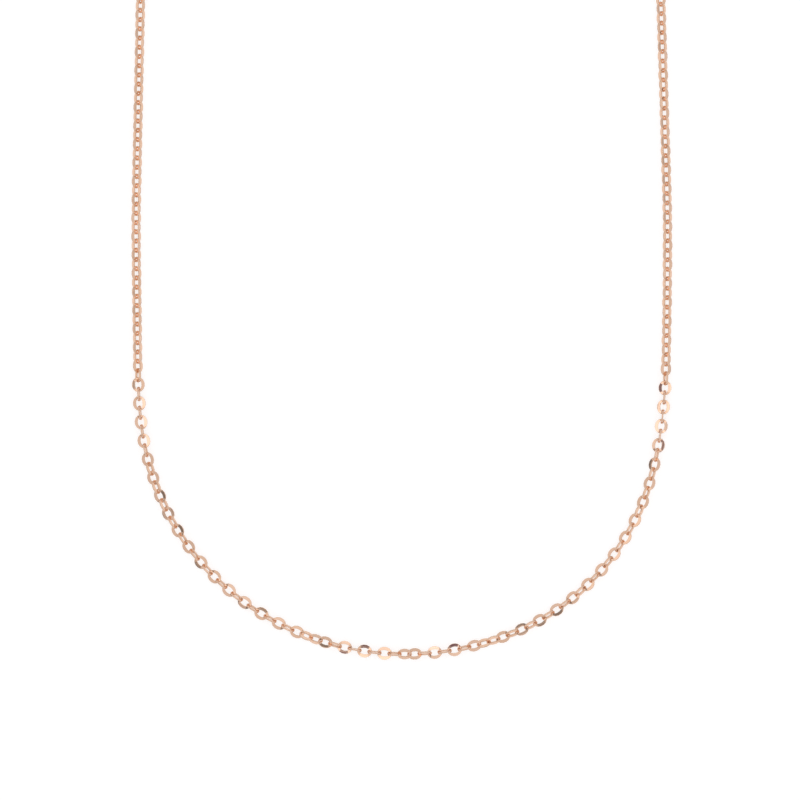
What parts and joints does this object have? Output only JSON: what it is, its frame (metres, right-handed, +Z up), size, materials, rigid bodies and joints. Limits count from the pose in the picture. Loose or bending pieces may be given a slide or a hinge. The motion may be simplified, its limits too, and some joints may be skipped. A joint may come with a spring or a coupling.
{
  "type": "chain necklace",
  "caption": "Rose-gold oval-link chain necklace laid open in a long U, with a lobster clasp on one end and a closing ring on the other.",
  "frame": {"origin": "on the surface that the necklace lies on, under the middle of the whole layout", "axes": "+X to the right, +Y from the front of the neck towards the nape and the clasp, +Z up from the surface"},
  "size_m": [0.1224, 0.1954, 0.0036],
  "materials": {
    "rose_gold_chain": "polished, diamond-cut faces",
    "rose_gold_fittings": "polished",
    "spring_steel": "drawn wire"
  },
  "bodies": {
    "chain_run_01": {"chain_run_01": "rose_gold_chain"},
    "chain_run_02": {"chain_run_02": "rose_gold_chain"},
    "chain_run_03": {"chain_run_03": "rose_gold_chain"},
    "chain_run_04": {"chain_run_04": "rose_gold_chain"},
    "chain_run_05": {"chain_run_05": "rose_gold_chain"},
    "chain_run_06": {"chain_run_06": "rose_gold_chain"},
    "chain_run_07": {"chain_run_07": "rose_gold_chain"},
    "chain_run_08": {"chain_run_08": "rose_gold_chain"},
    "chain_run_09": {"chain_run_09": "rose_gold_chain"},
    "chain_run_10": {"chain_run_10": "rose_gold_chain"},
    "chain_run_11": {"chain_run_11": "rose_gold_chain"},
    "chain_run_12": {"chain_run_12": "rose_gold_chain"},
    "chain_run_13": {"chain_run_13": "rose_gold_chain"},
    "chain_run_14": {"chain_run_14": "rose_gold_chain"},
    "chain_run_15": {"chain_run_15": "rose_gold_chain"},
    "chain_run_16": {"chain_run_16": "rose_gold_chain"},
    "chain_run_17": {"chain_run_17": "rose_gold_chain"},
    "chain_run_18": {"chain_run_18": "rose_gold_chain"},
    "chain_run_19": {"chain_run_19": "rose_gold_chain"},
    "chain_run_20": {"chain_run_20": "rose_gold_chain"},
    "chain_run_21": {"chain_run_21": "rose_gold_chain"},
    "chain_run_22": {"chain_run_22": "rose_gold_chain"},
    "chain_run_23": {"chain_run_23": "rose_gold_chain"},
    "chain_run_24": {"chain_run_24": "rose_gold_chain"},
    "chain_run_25": {"chain_run_25": "rose_gold_chain"},
    "root": {"chain_run_26": "rose_gold_chain"},
    "chain_run_27": {"chain_run_27": "rose_gold_chain"},
    "chain_run_28": {"chain_run_28": "rose_gold_chain"},
    "chain_run_29": {"chain_run_29": "rose_gold_chain"},
    "chain_run_30": {"chain_run_30": "rose_gold_chain"},
    "chain_run_31": {"chain_run_31": "rose_gold_chain"},
    "chain_run_32": {"chain_run_32": "rose_gold_chain"},
    "chain_run_33": {"chain_run_33": "rose_gold_chain"},
    "chain_run_34": {"chain_run_34": "rose_gold_chain"},
    "chain_run_35": {"chain_run_35": "rose_gold_chain"},
    "chain_run_36": {"chain_run_36": "rose_gold_chain"},
    "chain_run_37": {"chain_run_37": "rose_gold_chain"},
    "chain_run_38": {"chain_run_38": "rose_gold_chain"},
    "chain_run_39": {"chain_run_39": "rose_gold_chain"},
    "chain_run_40": {"chain_run_40": "rose_gold_chain"},
    "chain_run_41": {"chain_run_41": "rose_gold_chain"},
    "chain_run_42": {"chain_run_42": "rose_gold_chain"},
    "chain_run_43": {"chain_run_43": "rose_gold_chain"},
    "chain_run_44": {"chain_run_44": "rose_gold_chain"},
    "chain_run_45": {"chain_run_45": "rose_gold_chain"},
    "chain_run_46": {"chain_run_46": "rose_gold_chain"},
    "chain_run_47": {"chain_run_47": "rose_gold_chain"},
    "chain_run_48": {"chain_run_48": "rose_gold_chain"},
    "chain_run_49": {"chain_run_49": "rose_gold_chain"},
    "chain_run_50": {"chain_run_50": "rose_gold_chain"},
    "clasp_jump_ring": {"clasp_jump_ring": "rose_gold_fittings"},
    "lobster_clasp": {"lobster_body": "rose_gold_fittings", "trigger_pin": "rose_gold_fittings", "trigger_spring": "spring_steel"},
    "lobster_trigger": {"lobster_trigger": "rose_gold_fittings"},
    "end_jump_ring": {"end_jump_ring": "rose_gold_fittings"},
    "end_ring": {"end_ring": "rose_gold_fittings"}
  },
  "joints": [
    {"name": "trigger_press", "type": "hinge", "parent": "lobster_clasp", "child": "lobster_trigger", "pos_m": [0.05724, 0.09248, 0.00114], "axis": [0, 0, -1], "range_deg": [0, 18], "stiffness_Nm_per_rad": 0.002, "springref_deg": -11.46},
    {"name": "clasp_swing", "type": "hinge", "parent": "clasp_jump_ring", "child": "lobster_clasp", "pos_m": [0.05735, 0.08911, 0.00114], "axis": [0, 0, 1], "range_deg": [-25, 25]},
    {"name": "clasp_ring_swing", "type": "hinge", "parent": "chain_run_50", "child": "clasp_jump_ring", "pos_m": [0.0574, 0.08722, 0.00152], "axis": [-0.9995, -0.0314, 0], "range_deg": [-25, 25]},
    {"name": "end_ring_swing", "type": "hinge", "parent": "end_jump_ring", "child": "end_ring", "pos_m": [-0.05834, 0.08562, 0.00112], "axis": [-0.9998, 0.0209, 0], "range_deg": [-25, 25]},
    {"name": "end_jump_ring_swing", "type": "hinge", "parent": "chain_run_01", "child": "end_jump_ring", "pos_m": [-0.05835, 0.08492, 0.00147], "axis": [-0.9998, 0.0209, 0], "range_deg": [-25, 25]},
    {"name": "chain_bend_27", "type": "hinge", "parent": "root", "child": "chain_run_27", "pos_m": [0.00884, -0.09586, 0.0015], "axis": [0.1023, -0.9947, -0.0113], "range_deg": [-30, 30]},
    {"name": "chain_bend_25", "type": "hinge", "parent": "root", "child": "chain_run_25", "pos_m": [-0.00082, -0.09634, 0.00141], "axis": [-0.0188, -0.8181, -0.5748], "range_deg": [-30, 30]},
    {"name": "chain_bend_28", "type": "hinge", "parent": "chain_run_27", "child": "chain_run_28", "pos_m": [0.01716, -0.09426, 0.00137], "axis": [-0.1936, 0.5989, -0.7771], "range_deg": [-30, 30]},
    {"name": "chain_bend_24", "type": "hinge", "parent": "chain_run_25", "child": "chain_run_24", "pos_m": [-0.00926, -0.09556, 0.0015], "axis": [0.0031, -0.0006, 1], "range_deg": [-30, 30]},
    {"name": "chain_bend_29", "type": "hinge", "parent": "chain_run_28", "child": "chain_run_29", "pos_m": [0.02632, -0.09114, 0.00146], "axis": [-0.1965, 0.4413, 0.8756], "range_deg": [-30, 30]},
    {"name": "chain_bend_23", "type": "hinge", "parent": "chain_run_24", "child": "chain_run_23", "pos_m": [-0.01866, -0.09327, 0.00131], "axis": [0.2668, 0.7873, -0.5558], "range_deg": [-30, 30]},
    {"name": "chain_bend_30", "type": "hinge", "parent": "chain_run_29", "child": "chain_run_30", "pos_m": [0.0338, -0.08715, 0.00147], "axis": [0.5139, -0.7553, 0.4067], "range_deg": [-30, 30]},
    {"name": "chain_bend_22", "type": "hinge", "parent": "chain_run_23", "child": "chain_run_22", "pos_m": [-0.02651, -0.09008, 0.0015], "axis": [-0.4363, -0.8451, -0.309], "range_deg": [-30, 30]},
    {"name": "chain_bend_31", "type": "hinge", "parent": "chain_run_30", "child": "chain_run_31", "pos_m": [0.04143, -0.08121, 0.00147], "axis": [0.2699, -0.3043, -0.9135], "range_deg": [-30, 30]},
    {"name": "chain_bend_21", "type": "hinge", "parent": "chain_run_22", "child": "chain_run_21", "pos_m": [-0.03484, -0.08519, 0.0015], "axis": [-0.1712, -0.2573, 0.9511], "range_deg": [-30, 30]},
    {"name": "chain_bend_32", "type": "hinge", "parent": "chain_run_31", "child": "chain_run_32", "pos_m": [0.04713, -0.07495, 0.00147], "axis": [-0.7372, 0.5395, -0.4067], "range_deg": [-30, 30]},
    {"name": "chain_bend_20", "type": "hinge", "parent": "chain_run_21", "child": "chain_run_20", "pos_m": [-0.04133, -0.07988, 0.0015], "axis": [0.6716, 0.6734, 0.309], "range_deg": [-30, 30]},
    {"name": "chain_bend_33", "type": "hinge", "parent": "chain_run_32", "child": "chain_run_33", "pos_m": [0.05231, -0.06683, 0.00147], "axis": [-0.3549, 0.1986, 0.9135], "range_deg": [-30, 30]},
    {"name": "chain_bend_19", "type": "hinge", "parent": "chain_run_20", "child": "chain_run_19", "pos_m": [-0.04769, -0.07274, 0.0015], "axis": [0.243, 0.191, -0.9511], "range_deg": [-30, 30]},
    {"name": "chain_bend_34", "type": "hinge", "parent": "chain_run_33", "child": "chain_run_34", "pos_m": [0.05554, -0.05916, 0.00142], "axis": [0.8282, -0.2533, 0.5], "range_deg": [-30, 30]},
    {"name": "chain_bend_18", "type": "hinge", "parent": "chain_run_19", "child": "chain_run_18", "pos_m": [-0.05212, -0.06587, 0.00145], "axis": [-0.7923, -0.4076, -0.454], "range_deg": [-30, 30]},
    {"name": "chain_bend_35", "type": "hinge", "parent": "chain_run_34", "child": "chain_run_35", "pos_m": [0.05786, -0.04994, 0.00153], "axis": [0.2576, -0.0384, -0.9655], "range_deg": [-30, 30]},
    {"name": "chain_bend_17", "type": "hinge", "parent": "chain_run_18", "child": "chain_run_17", "pos_m": [-0.05594, -0.05725, 0.00145], "axis": [-0.4249, -0.16, 0.891], "range_deg": [-30, 30]},
    {"name": "chain_bend_36", "type": "hinge", "parent": "chain_run_35", "child": "chain_run_36", "pos_m": [0.05898, -0.04195, 0.0015], "axis": [-0.9953, 0.0965, 0], "range_deg": [-30, 30]},
    {"name": "chain_bend_16", "type": "hinge", "parent": "chain_run_17", "child": "chain_run_16", "pos_m": [-0.05803, -0.04959, 0.00151], "axis": [0.9838, 0.1784, 0.0198], "range_deg": [-30, 30]},
    {"name": "chain_bend_37", "type": "hinge", "parent": "chain_run_36", "child": "chain_run_37", "pos_m": [0.05964, -0.03261, 0.00146], "axis": [0.3119, 0.0142, 0.95], "range_deg": [-30, 30]},
    {"name": "chain_bend_15", "type": "hinge", "parent": "chain_run_16", "child": "chain_run_15", "pos_m": [-0.05927, -0.04039, 0.0015], "axis": [0, 0, -1], "range_deg": [-30, 30]},
    {"name": "chain_bend_38", "type": "hinge", "parent": "chain_run_37", "child": "chain_run_38", "pos_m": [0.05981, -0.02475, 0.00124], "axis": [0.707, -0.0128, -0.7071], "range_deg": [-30, 30]},
    {"name": "chain_bend_14", "type": "hinge", "parent": "chain_run_15", "child": "chain_run_14", "pos_m": [-0.05963, -0.03268, 0.00133], "axis": [-0.7258, 0.0197, 0.6876], "range_deg": [-30, 30]},
    {"name": "chain_bend_39", "type": "hinge", "parent": "chain_run_38", "child": "chain_run_39", "pos_m": [0.05996, -0.01546, 0.00124], "axis": [-0.707, 0.0093, -0.7071], "range_deg": [-30, 30]},
    {"name": "chain_bend_13", "type": "hinge", "parent": "chain_run_14", "child": "chain_run_13", "pos_m": [-0.05978, -0.02351, 0.00124], "axis": [0.707, 0.011, 0.7071], "range_deg": [-30, 30]},
    {"name": "chain_bend_40", "type": "hinge", "parent": "chain_run_39", "child": "chain_run_40", "pos_m": [0.06003, -0.00763, 0.00124], "axis": [-0.7071, 0.0034, 0.7071], "range_deg": [-30, 30]},
    {"name": "chain_bend_12", "type": "hinge", "parent": "chain_run_13", "child": "chain_run_12", "pos_m": [-0.05989, -0.01592, 0.00124], "axis": [0.707, 0.0091, -0.7071], "range_deg": [-30, 30]},
    {"name": "chain_bend_41", "type": "hinge", "parent": "chain_run_40", "child": "chain_run_41", "pos_m": [0.06002, 0.00166, 0.00124], "axis": [0.7071, 0.0058, 0.7071], "range_deg": [-30, 30]},
    {"name": "chain_bend_11", "type": "hinge", "parent": "chain_run_12", "child": "chain_run_11", "pos_m": [-0.06, -0.0068, 0.00124], "axis": [-0.7071, -0.008, -0.7071], "range_deg": [-30, 30]},
    {"name": "chain_bend_42", "type": "hinge", "parent": "chain_run_41", "child": "chain_run_42", "pos_m": [0.05985, 0.00949, 0.00124], "axis": [0.7068, 0.0221, -0.7071], "range_deg": [-30, 30]},
    {"name": "chain_bend_10", "type": "hinge", "parent": "chain_run_11", "child": "chain_run_10", "pos_m": [-0.06004, 0.00076, 0.00124], "axis": [-0.7071, 0.0041, 0.7071], "range_deg": [-30, 30]},
    {"name": "chain_bend_43", "type": "hinge", "parent": "chain_run_42", "child": "chain_run_43", "pos_m": [0.05956, 0.01878, 0.00124], "axis": [-0.7068, -0.0222, -0.7071], "range_deg": [-30, 30]},
    {"name": "chain_bend_09", "type": "hinge", "parent": "chain_run_10", "child": "chain_run_09", "pos_m": [-0.05993, 0.00988, 0.00124], "axis": [0.707, -0.0135, 0.7071], "range_deg": [-30, 30]},
    {"name": "chain_bend_44", "type": "hinge", "parent": "chain_run_43", "child": "chain_run_44", "pos_m": [0.05931, 0.0266, 0.00124], "axis": [-0.7068, -0.0222, 0.7071], "range_deg": [-30, 30]},
    {"name": "chain_bend_08", "type": "hinge", "parent": "chain_run_09", "child": "chain_run_08", "pos_m": [-0.05977, 0.01743, 0.00124], "axis": [0.707, -0.0148, -0.7071], "range_deg": [-30, 30]},
    {"name": "chain_bend_45", "type": "hinge", "parent": "chain_run_44", "child": "chain_run_45", "pos_m": [0.05902, 0.03589, 0.00124], "axis": [0.7068, 0.0222, 0.7071], "range_deg": [-30, 30]},
    {"name": "chain_bend_07", "type": "hinge", "parent": "chain_run_08", "child": "chain_run_07", "pos_m": [-0.05958, 0.02656, 0.00124], "axis": [-0.707, 0.0148, -0.7071], "range_deg": [-30, 30]},
    {"name": "chain_bend_46", "type": "hinge", "parent": "chain_run_45", "child": "chain_run_46", "pos_m": [0.05877, 0.04371, 0.00124], "axis": [0.7068, 0.0222, -0.7071], "range_deg": [-30, 30]},
    {"name": "chain_bend_06", "type": "hinge", "parent": "chain_run_07", "child": "chain_run_06", "pos_m": [-0.05942, 0.03411, 0.00124], "axis": [-0.707, 0.0148, 0.7071], "range_deg": [-30, 30]},
    {"name": "chain_bend_47", "type": "hinge", "parent": "chain_run_46", "child": "chain_run_47", "pos_m": [0.05848, 0.053, 0.00124], "axis": [-0.7068, -0.0222, -0.7071], "range_deg": [-30, 30]},
    {"name": "chain_bend_05", "type": "hinge", "parent": "chain_run_06", "child": "chain_run_05", "pos_m": [-0.05923, 0.04323, 0.00124], "axis": [0.707, -0.0148, 0.7071], "range_deg": [-30, 30]},
    {"name": "chain_bend_48", "type": "hinge", "parent": "chain_run_47", "child": "chain_run_48", "pos_m": [0.05823, 0.06083, 0.00124], "axis": [-0.7068, -0.0222, 0.7071], "range_deg": [-30, 30]},
    {"name": "chain_bend_04", "type": "hinge", "parent": "chain_run_05", "child": "chain_run_04", "pos_m": [-0.05907, 0.05079, 0.00124], "axis": [0.707, -0.0148, -0.7071], "range_deg": [-30, 30]},
    {"name": "chain_bend_49", "type": "hinge", "parent": "chain_run_48", "child": "chain_run_49", "pos_m": [0.05794, 0.07011, 0.00125], "axis": [0.707, 0.0151, 0.7071], "range_deg": [-30, 30]},
    {"name": "chain_bend_03", "type": "hinge", "parent": "chain_run_04", "child": "chain_run_03", "pos_m": [-0.05888, 0.05991, 0.00124], "axis": [-0.707, 0.0148, -0.7071], "range_deg": [-30, 30]},
    {"name": "chain_bend_50", "type": "hinge", "parent": "chain_run_49", "child": "chain_run_50", "pos_m": [0.0577, 0.07794, 0.00146], "axis": [0.3866, 0.0248, -0.9219], "range_deg": [-30, 30]},
    {"name": "chain_bend_02", "type": "hinge", "parent": "chain_run_03", "child": "chain_run_02", "pos_m": [-0.05872, 0.06746, 0.00124], "axis": [-0.707, 0.0148, 0.7071], "range_deg": [-30, 30]},
    {"name": "chain_bend_01", "type": "hinge", "parent": "chain_run_02", "child": "chain_run_01", "pos_m": [-0.05853, 0.07659, 0.00131], "axis": [0.7395, -0.0319, 0.6724], "range_deg": [-30, 30]}
  ]
}
